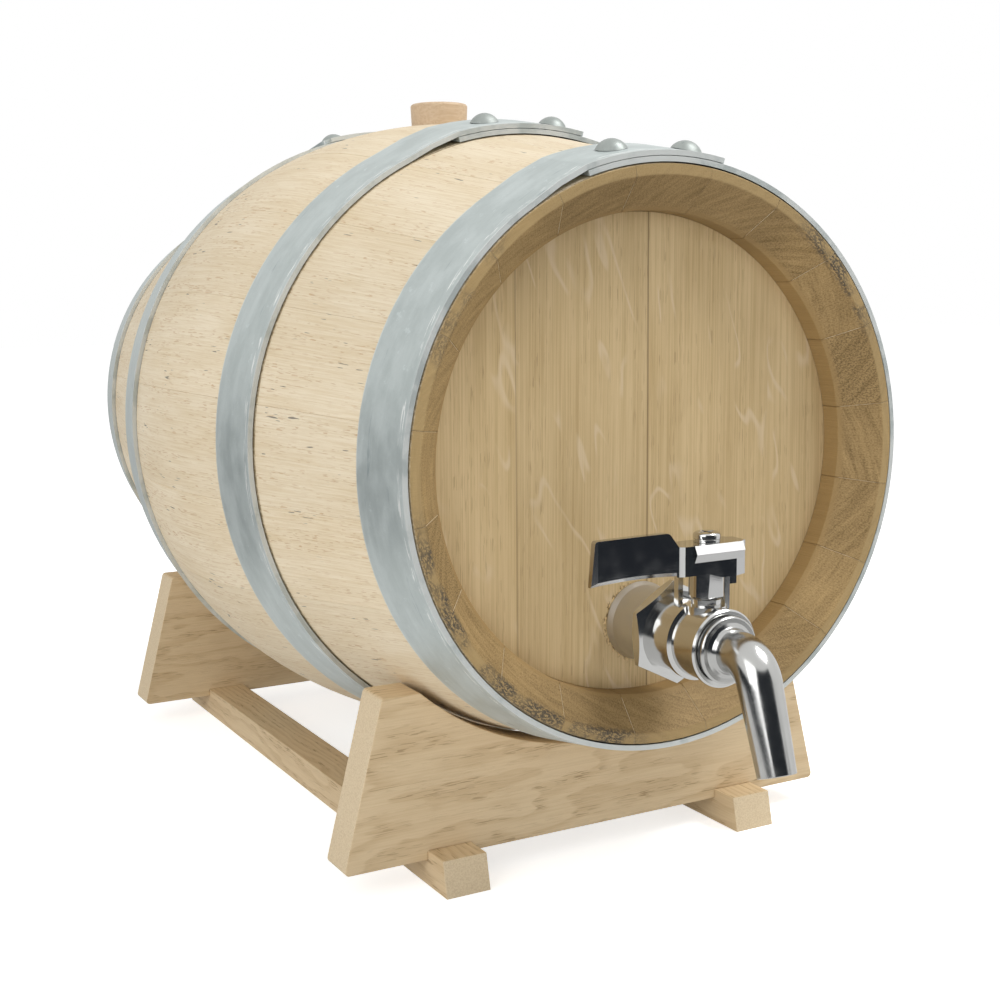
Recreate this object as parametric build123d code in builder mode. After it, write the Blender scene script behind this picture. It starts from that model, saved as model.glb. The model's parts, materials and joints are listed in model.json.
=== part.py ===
"""Oak cask liquor dispenser: a five litre cask on a cradle, drawn off by a small ball-valve tap.

Millimetres. +Z is up and the floor is z = 0. The cask's axis runs along Y, with the tap on the -Y head
and the bung at the top of the belly. The origin is on the floor, under the middle of the whole object's box.
"""

import os
from math import cos, degrees, hypot, radians, sin, sqrt, tan

from build123d import *

# --- Cask: staves ---------------------------------------------------------------------------------
cask_length = 295.6  # end to end along the staves
end_radius = 82.0  # outside, at each end
stave_lean = 10.6  # degrees that each half of a stave leans in towards its end
bend_half_length = 45.0  # the belly's arc reaches this far each way from the middle
stave_thickness = 15.0
stave_count = 20
rim_width = 3.0  # flat ring at the very end of the staves
bevel_length = 9.9  # the chime's bevel, along the axis
band_radius = 69.8  # inside of the chime, in front of the head
croze_depth = 3.6  # groove that holds the head

# --- Cask: heads ----------------------------------------------------------------------------------
head_recess = 16.2  # from the end of the staves down to the head's face
head_thickness = 12.0
tongue_setback = 2.0  # from the head's face to the start of its edge tongue
tongue_rise = 1.2
tongue_width = 3.8
head_play = 0.05  # between the heads and the staves
head_board_width = 44.2
head_joint_shift = 2.6  # the middle joint stands this far to the right of the axis
dowel_radius = 3.0
dowel_length = 22.0
dowel_spread = 32.0  # height of the dowels above and below the axis
dowel_play = 0.05

# --- Cask: hoops ----------------------------------------------------------------------------------
hoop_thickness = 1.5
hoop_stand = 0.45  # a strap flares less than the staves, so its outward edge stands this far off them
head_hoop_setback = 0.4  # from the end of the staves to the hoop's edge
head_hoop_width = 21.4
front_bilge_place = 61.0  # middle of the front bilge hoop, in front of the middle of the cask
back_bilge_place = 40.4  # middle of the back one, behind it
bilge_hoop_width = 19.8
front_head_lap = 90.8  # degrees round from +X to the middle of each hoop's lap
front_bilge_lap = 89.9
back_bilge_lap = 95.2
back_head_lap = 92.0
lap_outer_reach = 19.7  # along the strap, from the middle of its lap to the end of its outer layer
lap_inner_reach = 27.2  # and to the end of its inner layer
lap_ramp = 19.0  # along the strap, where it climbs onto its own end
lap_gap = 0.2  # between the two layers
lap_corner = 3.0  # corners rounded on the strap's outer end
rivet_half_pitch = 12.3  # along the strap, from the middle of the lap to each rivet
rivet_head_radius = 4.6
rivet_head_height = 2.8
rivet_shank_radius = 2.0

# --- Bung -----------------------------------------------------------------------------------------
bung_place = 4.8  # in front of the middle of the cask
bung_top_radius = 10.15
bung_rise = 7.4  # above the belly
bung_reach = 3.0  # below the stave, inside the cask
bung_taper = 0.05  # radius lost for each millimetre down
bung_play = 0.1
bung_edge = 1.0

# --- Cradle ---------------------------------------------------------------------------------------
axis_height = 127.4  # the cask's axis above the floor
cradle_play = 0.3  # between the cask and the cradle's arcs
board_inner_face = 95.8  # from the middle of the cask to a board's inner face
board_thickness = 13.7
board_base = 8.0  # underside of the boards above the floor
board_top = 59.3  # flat shoulders of the boards above the floor
board_half_base = 87.1
board_half_top = 74.0
board_corner = 1.5
rail_middle = 52.8  # from the plane of symmetry to the middle of a rail
rail_width = 14.5
rail_height = 10.8
foot_reach = 9.6  # a rail's top edge stands this far out of the board
foot_lean = 2.4  # and its bottom edge this much further
screw_radius = 1.75
screw_head_radius = 3.5
screw_recess = 0.8
screw_length = 26.0

# --- Tap: lengths run outwards from the face of the head ------------------------------------------
tap_drop = 49.4  # the tap's axis below the cask's axis
tap_play = 0.05  # between the tap's own pieces, and its running fits
shank_radius = 8.33
shank_reach = 6.0  # past the inside of the head
shank_bore = 4.0
collar_lip_radius = 11.7
collar_lip = 0.6
collar_bevel = 1.8
collar_radius = 11.0
collar_length = 15.1
collar_edge = 0.4
hex_across_flats = 26.3
hex_width = 4.4
hex_turn = 3.0  # degrees that the hexagon happens to stand turned
hex_face_radius = 12.2  # flat ring left by the chamfer
hex_chamfer = 1.4
hex_overcut = 1.0  # the chamfers are turned from this far outside the hexagon's corners
cap_spigot_radius = 7.0
cap_spigot_length = 8.0
rear_body_radius = 10.6
bead_start = 27.6
bead_width = 2.6
bead_radius = 11.3
front_body_radius = 10.1
body_ring_width = 2.1
body_ring_radius = 10.9
body_edge = 0.5
body_length = 21.7  # from the hexagon to the body's front face
ball_distance = 32.4  # from the head's face to the stem's axis
chamber_radius = 7.6
ball_radius = 6.0
ball_bore = 3.5
seat_length = 2.1
ball_slot_depth = 1.7
ball_slot_width = 2.4
neck_boss_radius = 5.6
neck_boss_height = 10.8  # heights here are above the tap's axis
neck_radius = 4.1
neck_height = 12.6
packing_thickness = 0.8
packing_length = 2.6
stem_radius = 2.4
stem_shoulder_radius = 3.3
stem_shoulder = 1.0
stem_across_flats = 3.6
post_size = (1.6, 2.0)  # the two stops that stand on the body, in X and Y
post_place = (6.05, -0.6)  # the middle of the shut stop, from the stem's axis
open_post_reach = 7.4  # the open stop's middle behind the stem's axis
post_height = 18.2

# --- Tap: lever -----------------------------------------------------------------------------------
lever_gap = 0.4  # between the neck and the lever
skirt_radius = 4.9
skirt_flat = 3.4  # the skirt is cut flat this far behind the stem, and flush with the hub in front
skirt_bevel = 0.5
hub_top = 28.4
hub_underside = 18.9
hub_waist = 4.4  # half the depth of the hub
hub_left = 10.4
hub_right = 11.0
hub_corner = (4.0, 1.5)  # cut off the hub's right corners, in X and Y
brow_left = 7.2  # a ridge runs along the front and back of the hub
brow_right = 9.1
brow_reach = 1.1  # out of the hub's faces
brow_edge = 2.3  # height of its upper slope
brow_bevel = 2.4  # and of its lower one
hub_fold = 11.8  # the blade's front face turns forwards here, to meet the hub's front
hub_fold_radius = 0.8
lug_reach = 11.0  # stop lug under the hub's right end
lug_length = 4.6
lug_width = 2.2
lug_drop = 3.4
lug_gap = 0.3  # between the lug and the post that stops it
blade_tip = 40.0  # from the stem's axis to the tip of the blade
blade_tip_slant = 1.1  # the tip's top stands back by this much
blade_top = 32.5
blade_underside = 20.2
blade_arch = 0.6  # height of the hollow along the blade's underside
blade_shoulder = 15.0  # where the blade steps down to the hub
shoulder_radius = 2.0
tip_radius = 0.9
blade_thickness = 2.2
blade_face = 3.5  # the blade's front face in front of the stem's axis
blade_straight = 12.5  # from here the blade bows forwards
blade_bow = 0.9  # by this much at its tip
blade_bevel = 1.15  # along the front of its underside
tip_bevel = 0.7  # down the front of its tip
washer_radius = 3.7
washer_thickness = 0.9
washer_slit = 0.8
screw_head = (3.8, 1.9)  # the lever screw's head, as radius and height
lever_screw_radius = 1.45
lever_screw_grip = 7.0  # thread in the stem
cross_slot = (5.0, 1.0, 1.2)  # length, width and depth of the cross in the screw's head

# --- Tap: spout -----------------------------------------------------------------------------------
o_ring_radius = 8.35
o_ring_section = 0.7
flange_gap = 0.4
flange_step_radius = 8.6
flange_step = 0.5
flange_radius = 9.4
flange_width = 1.3
spout_radius = 6.1
spout_neck_fillet = 1.6
spout_corner = 53.9  # from the head's face to where the spout's two axes cross
spout_slope = 18.5  # degrees that the spout runs forward of straight down
spout_bend = 9.0  # radius of the bend's middle line
spout_drop = 30.9  # from the crossing of the axes to the outlet
outlet_radius = 5.3
spout_bore = 4.2

# --- Places worked out from the sizes above -------------------------------------------------------
half_length = cask_length / 2
lean = tan(radians(stave_lean))
belly_radius = end_radius + lean * (half_length - bend_half_length) + bend_half_length * tan(radians(stave_lean / 2))
bend_radius = bend_half_length / sin(radians(stave_lean))
head_face = half_length - head_recess
spout_turn = 90 - spout_slope
outlet_distance = spout_corner + spout_drop * sin(radians(spout_slope))
outlet_front = outlet_distance + outlet_radius * cos(radians(spout_slope))
board_outer_face = board_inner_face + board_thickness
front_reach = head_face + outlet_front  # from the middle of the cask to the spout's foremost point
back_reach = max(half_length, board_outer_face + foot_reach + foot_lean)
cask_y = (front_reach - back_reach) / 2  # puts the whole object's box over the origin
tap_y = cask_y - head_face
tap_z = axis_height - tap_drop
stem_y = tap_y - ball_distance
stave_angle = 360 / stave_count

cask_axis = Axis((0, cask_y, axis_height), (0, 1, 0))
tap_axis = Axis((0, tap_y, tap_z), (0, -1, 0))
tap_face = Plane(origin=(0, tap_y, tap_z), x_dir=(1, 0, 0), z_dir=(0, -1, 0))
tap_section = Plane(origin=(0, tap_y, tap_z), x_dir=(0, -1, 0), z_dir=(-1, 0, 0))
stem_base = Plane(origin=(0, stem_y, tap_z), x_dir=(1, 0, 0), z_dir=(0, 0, 1))

os.makedirs("parts", exist_ok=True)


def save(piece, name):
    """Labels a finished sub-part and writes it as a node of its own."""
    piece.part.label = name
    export_step(piece.part, f"parts/{name}.step")
    print(f"{name:24s} {len(piece.part.solids())} solid(s), {piece.part.volume / 1000:9.3f} cm3")


def outer_radius(y):
    """Outside radius of the staves at a distance y from the middle of the cask."""
    y = abs(y)
    if y >= bend_half_length:
        return end_radius + lean * (half_length - y)
    return belly_radius - bend_radius + sqrt(bend_radius**2 - y**2)


def inner_radius(y):
    return outer_radius(y) - stave_thickness


def radial_plane(angle):
    """A plane through the cask's axis: its x runs outwards at that angle from +X, and its y along the cask."""
    turn = radians(angle)
    outwards = (cos(turn), 0, sin(turn))
    return Plane(origin=(0, cask_y, axis_height), x_dir=outwards, z_dir=(-sin(turn), 0, cos(turn)))


# --- Staves ---------------------------------------------------------------------------------------
croze_front = head_face - tongue_setback + head_play
croze_floor = band_radius + croze_depth
croze_back = head_face - tongue_setback - tongue_rise - tongue_width - head_play
croze_slant = (croze_floor - inner_radius(croze_back)) / (1 + lean)


def chime(side):
    """The end of a stave from its outer corner to its inner face, on the side of the cask given by the sign."""
    points = [
        (end_radius, half_length),
        (end_radius - rim_width, half_length),
        (band_radius, half_length - bevel_length),
        (band_radius, croze_front),
        (croze_floor, croze_front - tongue_rise),
        (croze_floor, croze_back),
        (croze_floor - croze_slant, croze_back - croze_slant),
        (inner_radius(bend_half_length), bend_half_length),
    ]
    return [(radius, side * y) for radius, y in points]


bung_top = axis_height + belly_radius + bung_rise
bung_length = bung_rise + stave_thickness + bung_reach
bung_bottom_radius = bung_top_radius - bung_taper * bung_length

for number in range(stave_count):
    first_edge = 90 + stave_angle / 2 - number * stave_angle
    with BuildPart() as stave:
        with BuildSketch(radial_plane(first_edge)):
            with BuildLine():
                bend_start = (outer_radius(bend_half_length), -bend_half_length)
                bend_end = (outer_radius(bend_half_length), bend_half_length)
                Line((end_radius, -half_length), bend_start)
                ThreePointArc(bend_start, (belly_radius, 0), bend_end)
                Line(bend_end, (end_radius, half_length))
                Polyline(chime(1))
                ThreePointArc(chime(1)[-1], (inner_radius(0), 0), chime(-1)[-1])
                Polyline(chime(-1))
            make_face()
        revolve(axis=cask_axis, revolution_arc=stave_angle)
        if number == 0:
            with Locations((0, cask_y - bung_place, bung_top - bung_length / 2)):
                Cone(bung_bottom_radius + bung_play, bung_top_radius + bung_play, bung_length, mode=Mode.SUBTRACT)
    save(stave, "bung_stave" if number == 0 else f"stave_{number + 1:02d}")

# --- Bung -----------------------------------------------------------------------------------------
with BuildPart() as bung:
    with Locations((0, cask_y - bung_place, bung_top - bung_length / 2)):
        Cone(bung_bottom_radius, bung_top_radius, bung_length)
    fillet(bung.edges().sort_by(Axis.Z)[-1], bung_edge)
    chamfer(bung.edges().sort_by(Axis.Z)[0], bung_edge)
save(bung, "bung")

# --- Heads: four boards each, dowelled edge to edge -----------------------------------------------
tongue_radius = croze_floor - head_play
tongue_top = head_face - tongue_setback - tongue_rise
back_bevel = head_thickness - tongue_setback - tongue_rise - tongue_width
head_outline = [
    (0, head_face),
    (band_radius - head_play, head_face),
    (band_radius - head_play, head_face - tongue_setback),
    (tongue_radius, tongue_top),
    (tongue_radius, tongue_top - tongue_width),
    (tongue_radius - back_bevel, head_face - head_thickness),
    (0, head_face - head_thickness),
]
head_joints = [head_joint_shift + step * head_board_width for step in (-1, 0, 1)]
board_edges = [-croze_floor, *head_joints, croze_floor]
dowel_line = head_face - head_thickness / 2


def dowel_places(side):
    return [
        Location((x, cask_y + side * dowel_line, axis_height + z), (0, 90, 0))
        for x in head_joints
        for z in (-dowel_spread, dowel_spread)
    ]


for head, side in (("front", -1), ("back", 1)):
    for number, (left, right) in enumerate(zip(board_edges, board_edges[1:]), start=1):
        with BuildPart() as board:
            with BuildSketch(radial_plane(90)):
                with BuildLine():
                    Polyline([(radius, side * y) for radius, y in head_outline], close=True)
                make_face()
            revolve(axis=cask_axis)
            with Locations(((left + right) / 2, cask_y + side * dowel_line, axis_height)):
                Box(right - left, 2 * head_thickness, 2 * croze_floor, mode=Mode.INTERSECT)
            with Locations(*dowel_places(side)):
                Cylinder(dowel_radius, dowel_length, mode=Mode.SUBTRACT)
            if side < 0:
                with BuildSketch(tap_face):
                    Circle(shank_radius)
                extrude(amount=head_thickness, both=True, mode=Mode.SUBTRACT)
        save(board, f"{head}_head_board_{number}")

with BuildPart() as head_dowels:
    with Locations(*dowel_places(-1), *dowel_places(1)):
        Cylinder(dowel_radius - dowel_play, dowel_length - 2 * dowel_play)
save(head_dowels, "head_dowels")


# --- Hoops: a strap that laps over its own end, held by two rivets --------------------------------
def strap(middle, width, lift):
    """Cross-section of a hoop strap, lift above its place, touching the staves along its edge nearest the belly."""
    (near_radius, near), (far_radius, far) = [
        (outer_radius(y) + (hoop_stand if abs(y) > abs(middle) else 0) + lift, y)
        for y in (middle - width / 2, middle + width / 2)
    ]
    return [
        (near_radius, near),
        (far_radius, far),
        (far_radius + hoop_thickness, far),
        (near_radius + hoop_thickness, near),
    ]


def on_strap(middle, width, angle, height):
    """A plane at that angle and height over a strap's underside: x runs round the cask, z out of the strap."""
    (near_radius, near), (far_radius, far) = strap(middle, width, 0)[:2]
    slope = (far_radius - near_radius) / width
    reach = hypot(1, slope)
    turn = radians(angle)
    radius = (near_radius + far_radius) / 2
    foot = (radius * cos(turn), cask_y + middle, axis_height + radius * sin(turn))
    outwards = (cos(turn) / reach, -slope / reach, sin(turn) / reach)
    return Plane(origin=foot, x_dir=(-sin(turn), 0, cos(turn)), z_dir=outwards).offset(height)


def along(middle, length):
    """Degrees round the cask that a length along a hoop's strap takes."""
    return degrees(length / (outer_radius(middle) + hoop_stand / 2))


head_hoop_place = half_length - head_hoop_setback - head_hoop_width / 2
hoops = {  # middle, width, middle of the lap, and the way that the strap runs round; the back hoops are turned about
    "front_head_hoop": (-head_hoop_place, head_hoop_width, front_head_lap, 1),
    "front_bilge_hoop": (-front_bilge_place, bilge_hoop_width, front_bilge_lap, 1),
    "back_bilge_hoop": (back_bilge_place, bilge_hoop_width, back_bilge_lap, -1),
    "back_head_hoop": (head_hoop_place, head_hoop_width, back_head_lap, -1),
}
lap_climb = hoop_thickness + lap_gap
rivet_places = [
    on_strap(middle, width, lap + side * along(middle, rivet_half_pitch), 0)
    for middle, width, lap, run in hoops.values()
    for side in (-1, 1)
]
for name, (middle, width, lap, run) in hoops.items():
    inner_end = lap + run * along(middle, lap_inner_reach)
    outer_end = lap - run * along(middle, lap_outer_reach)
    ramp = along(middle, lap_ramp)
    onwards = Axis(cask_axis.position, cask_axis.direction * run)
    with BuildPart() as hoop:
        with BuildSketch(radial_plane(inner_end)):
            with BuildLine():
                Polyline(strap(middle, width, 0), close=True)
            make_face()
        revolve(axis=onwards, revolution_arc=360 - ramp)
        for step in (0, 1):
            for share in (step / 2, (step + 1) / 2):
                with BuildSketch(radial_plane(inner_end + run * ramp * (1 - share))):
                    with BuildLine():
                        Polyline(strap(middle, width, share * lap_climb), close=True)
                    make_face()
            loft(ruled=True)
        with BuildSketch(radial_plane(inner_end)):
            with BuildLine():
                Polyline(strap(middle, width, lap_climb), close=True)
            make_face()
        revolve(axis=onwards, revolution_arc=abs(inner_end - outer_end))
        with BuildSketch(on_strap(middle, width, outer_end, lap_climb - lap_gap / 2)):
            for edge in (-1, 1):
                with Locations((0, edge * width / 2)):
                    Rectangle(2 * lap_corner, 2 * lap_corner)
            for edge in (-1, 1):
                with Locations((run * lap_corner, edge * (width / 2 - lap_corner))):
                    Circle(lap_corner, mode=Mode.SUBTRACT)
            with Locations((run * 2 * lap_corner, 0)):
                Rectangle(2 * lap_corner, 2 * width, mode=Mode.SUBTRACT)
        extrude(amount=2 * hoop_thickness, mode=Mode.SUBTRACT)
        for place in rivet_places:
            with BuildSketch(place.offset(-hoop_thickness)):
                Circle(rivet_shank_radius)
            extrude(amount=2 * lap_climb + hoop_thickness, mode=Mode.SUBTRACT)
    save(hoop, name)

rivet_dome_radius = (rivet_head_radius**2 + rivet_head_height**2) / (2 * rivet_head_height)
with BuildPart() as hoop_rivets:
    for place in rivet_places:
        seat = lap_climb + hoop_thickness
        crown = seat + rivet_head_height
        with BuildSketch(place):
            Circle(rivet_shank_radius)
        extrude(amount=seat)
        with BuildSketch(Plane(origin=place.origin, x_dir=place.x_dir, z_dir=-place.y_dir)):
            with BuildLine():
                shoulder = (rivet_dome_radius * sin(radians(30)), crown - rivet_dome_radius * (1 - cos(radians(30))))
                Polyline((rivet_head_radius, seat), (0, seat), (0, crown))
                ThreePointArc((0, crown), shoulder, (rivet_head_radius, seat))
            make_face()
        revolve(axis=Axis(place.origin, place.z_dir))
save(hoop_rivets, "hoop_rivets")

# --- Cradle: two saw-cut boards on two rails, whose ends are the feet -----------------------------
saddle_radius = outer_radius(board_inner_face) + cradle_play
board_middle = board_inner_face + board_thickness / 2
rail_half_top = board_outer_face + foot_reach
rail_half_base = rail_half_top + foot_lean
screw_places = [
    Plane(origin=(x, cask_y + y, 0), x_dir=(1, 0, 0), z_dir=(0, 0, -1))
    for x in (-rail_middle, rail_middle)
    for y in (-board_middle, board_middle)
]

for name, side in (("front_cradle_board", -1), ("back_cradle_board", 1)):
    with BuildPart() as board:
        board_face = Plane(origin=(0, cask_y + side * board_middle, 0), x_dir=(1, 0, 0), z_dir=(0, -1, 0))
        with BuildSketch(board_face):
            with BuildLine():
                Polyline(
                    (-board_half_base, board_base),
                    (board_half_base, board_base),
                    (board_half_top, board_top),
                    (-board_half_top, board_top),
                    close=True,
                )
            make_face()
            fillet(vertices(), board_corner)
            with Locations((0, axis_height)):
                Circle(saddle_radius, mode=Mode.SUBTRACT)
            with Locations((-rail_middle, rail_height / 2), (rail_middle, rail_height / 2)):
                Rectangle(rail_width, rail_height, mode=Mode.SUBTRACT)
        extrude(amount=board_thickness / 2, both=True)
        with Locations(*screw_places):
            Hole(screw_radius, screw_recess + screw_length)
    save(board, name)

for name, x in (("left_rail", -rail_middle), ("right_rail", rail_middle)):
    with BuildPart() as rail:
        with BuildSketch(Plane(origin=(x, cask_y, 0), x_dir=(0, 1, 0), z_dir=(1, 0, 0))):
            with BuildLine():
                Polyline(
                    (-rail_half_base, 0),
                    (rail_half_base, 0),
                    (rail_half_top, rail_height),
                    (-rail_half_top, rail_height),
                    close=True,
                )
            make_face()
        extrude(amount=rail_width / 2, both=True)
        with Locations(*[place for place in screw_places if place.origin.X * x > 0]):
            CounterBoreHole(screw_radius, screw_head_radius, screw_recess, rail_height)
            with Locations((0, 0, -screw_recess)):
                CounterSinkHole(screw_radius, screw_head_radius, rail_height)
    save(rail, name)

with BuildPart() as cradle_screws:
    for place in screw_places:
        with BuildSketch(Plane(origin=place.origin, x_dir=(1, 0, 0), z_dir=(0, -1, 0))):
            with BuildLine():
                Polyline(
                    (0, screw_recess),
                    (screw_head_radius, screw_recess),
                    (screw_radius, screw_recess + screw_head_radius - screw_radius),
                    (screw_radius, screw_recess + screw_length - screw_radius),
                    (0, screw_recess + screw_length),
                    close=True,
                )
            make_face()
        revolve(axis=Axis(place.origin, (0, 0, 1)))
save(cradle_screws, "cradle_screws")


# --- Tap: pieces turned on the tap's axis ---------------------------------------------------------
def turned(points, mode=Mode.ADD):
    """Turns an outline of (distance out from the head, radius) points on the tap's axis."""
    with BuildSketch(tap_section) as outline:
        with BuildLine():
            Polyline(points, close=True)
        make_face()
    revolve(outline.sketch, axis=tap_axis, mode=mode)


spigot_end = collar_length - cap_spigot_length
with BuildPart() as tap_shank:
    turned(
        [
            (-head_thickness - shank_reach, shank_bore),
            (-head_thickness - shank_reach, shank_radius),
            (0, shank_radius),
            (0, collar_lip_radius),
            (collar_lip, collar_lip_radius),
            (collar_lip + collar_bevel, collar_radius),
            (collar_length - collar_edge, collar_radius),
            (collar_length, collar_radius - collar_edge),
            (collar_length, cap_spigot_radius + tap_play),
            (spigot_end - tap_play, cap_spigot_radius + tap_play),
            (spigot_end - tap_play, shank_bore),
        ]
    )
save(tap_shank, "tap_shank")

hex_end = collar_length + hex_width
body_end = hex_end + body_length
hex_corner_radius = hex_across_flats / 2 / cos(radians(30))
chamber_half = body_end - body_ring_width - ball_distance
rear_seat_end = ball_distance - chamber_half
hex_clear_radius = hex_corner_radius + hex_overcut
chamfer_rise = hex_chamfer * (hex_clear_radius - hex_face_radius) / (hex_corner_radius - hex_face_radius)
with BuildPart() as tap_end_cap:
    with BuildSketch(tap_face.offset(collar_length)):
        RegularPolygon(hex_across_flats / 2, 6, major_radius=False, rotation=30 + hex_turn)
    extrude(amount=hex_width)
    turned(
        [
            (collar_length, 0),
            (collar_length, hex_face_radius),
            (collar_length + chamfer_rise, hex_clear_radius),
            (hex_end - chamfer_rise, hex_clear_radius),
            (hex_end, hex_face_radius),
            (hex_end, 0),
        ],
        mode=Mode.INTERSECT,
    )
    turned(
        [
            (spigot_end, 0),
            (spigot_end, cap_spigot_radius),
            (collar_length, cap_spigot_radius),
            (hex_end, chamber_radius - tap_play),
            (rear_seat_end, chamber_radius - tap_play),
            (rear_seat_end, 0),
        ]
    )
    with BuildSketch(tap_face.offset(spigot_end)):
        Circle(ball_bore)
    extrude(amount=rear_seat_end - spigot_end, mode=Mode.SUBTRACT)
save(tap_end_cap, "tap_end_cap")

o_ring_pocket = 2 * o_ring_section - flange_gap
pocket_radius = o_ring_radius + o_ring_section + tap_play
packing_radius = stem_radius + tap_play + packing_thickness
lug_front = post_place[1] + post_size[1] / 2 + lug_gap
lug_back = lug_front + lug_width
with BuildPart() as tap_body:
    ring_start = body_end - body_ring_width
    turned(
        [
            (hex_end, 0),
            (hex_end, rear_body_radius),
            (bead_start, rear_body_radius),
            (bead_start + body_edge, bead_radius),
            (bead_start + bead_width - body_edge, bead_radius),
            (bead_start + bead_width, front_body_radius),
            (ring_start, front_body_radius),
            (ring_start + body_edge / 2, body_ring_radius),
            (body_end - body_edge, body_ring_radius),
            (body_end, body_ring_radius - body_edge),
            (body_end, 0),
        ]
    )
    for radius, height in ((neck_boss_radius, neck_boss_height), (neck_radius, neck_height)):
        with BuildSketch(stem_base):
            Circle(radius)
        extrude(amount=height)
    with BuildSketch(stem_base):
        for place in (post_place, (-lug_back - lug_gap - post_size[0] / 2, open_post_reach)):
            with Locations(place):
                Rectangle(*post_size)
    extrude(amount=post_height)
    for start, radius in ((hex_end, chamber_radius), (body_end - o_ring_pocket, pocket_radius)):
        turned([(start, 0), (start, radius), (body_end, radius), (body_end, 0)], Mode.SUBTRACT)
    for radius, start, end in (
        (stem_shoulder_radius, 0, chamber_radius),
        (stem_radius, 0, neck_height),
        (packing_radius, neck_height - packing_length, neck_height),
    ):
        with BuildSketch(stem_base.offset(start)):
            Circle(radius + tap_play)
        extrude(amount=end - start, mode=Mode.SUBTRACT)
save(tap_body, "tap_body")

with BuildPart() as stem_packing:
    with BuildSketch(stem_base.offset(neck_height - packing_length)):
        Circle(packing_radius)
        Circle(stem_radius + tap_play, mode=Mode.SUBTRACT)
    extrude(amount=packing_length)
save(stem_packing, "stem_packing")

for name, side in (("rear_ball_seat", -1), ("front_ball_seat", 1)):
    with BuildPart() as seat_ring:
        outside = ball_distance + side * chamber_half
        inside = outside - side * seat_length
        turned(
            [
                (outside, ball_bore),
                (outside, chamber_radius - tap_play),
                (inside, chamber_radius - tap_play),
                (inside, ball_bore),
            ]
        )
        with Locations(stem_base.origin):
            Sphere(ball_radius + tap_play, mode=Mode.SUBTRACT)
    save(seat_ring, name)

# --- Tap: ball, stem and lever, which turn together about the stem --------------------------------
slot_floor = ball_radius - ball_slot_depth
with BuildPart() as valve_ball:
    with Locations(stem_base.origin):
        Sphere(ball_radius)
    with Locations(Location(stem_base.origin, (0, 90, 0))):
        Cylinder(ball_bore, 2 * ball_radius, mode=Mode.SUBTRACT)
    with BuildSketch(stem_base.offset(slot_floor)):
        Rectangle(ball_slot_width, 2 * ball_radius)
    extrude(amount=ball_slot_depth, mode=Mode.SUBTRACT)
save(valve_ball, "valve_ball")

shoulder_top = chamber_radius - tap_play
shoulder_base = shoulder_top - stem_shoulder
stem_top = hub_top - tap_play
hub_base = neck_height + lever_gap
with BuildPart() as valve_stem:
    with BuildSketch(stem_base.offset(slot_floor + tap_play)):
        Circle(stem_radius)
        Rectangle(ball_slot_width - 2 * tap_play, 2 * stem_radius, mode=Mode.INTERSECT)
    extrude(amount=shoulder_base - slot_floor - tap_play)
    with BuildSketch(stem_base.offset(shoulder_base)):
        Circle(stem_shoulder_radius)
    extrude(amount=stem_shoulder)
    with BuildSketch(stem_base.offset(shoulder_top)):
        Circle(stem_radius)
    extrude(amount=hub_base - shoulder_top)
    with BuildSketch(stem_base.offset(hub_base)):
        Circle(stem_radius)
        Rectangle(stem_across_flats, 2 * stem_radius, mode=Mode.INTERSECT)
    extrude(amount=stem_top - hub_base)
    with BuildSketch(stem_base.offset(stem_top)):
        Circle(lever_screw_radius + tap_play)
    extrude(amount=-lever_screw_grip, mode=Mode.SUBTRACT)
save(valve_stem, "valve_stem")

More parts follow.
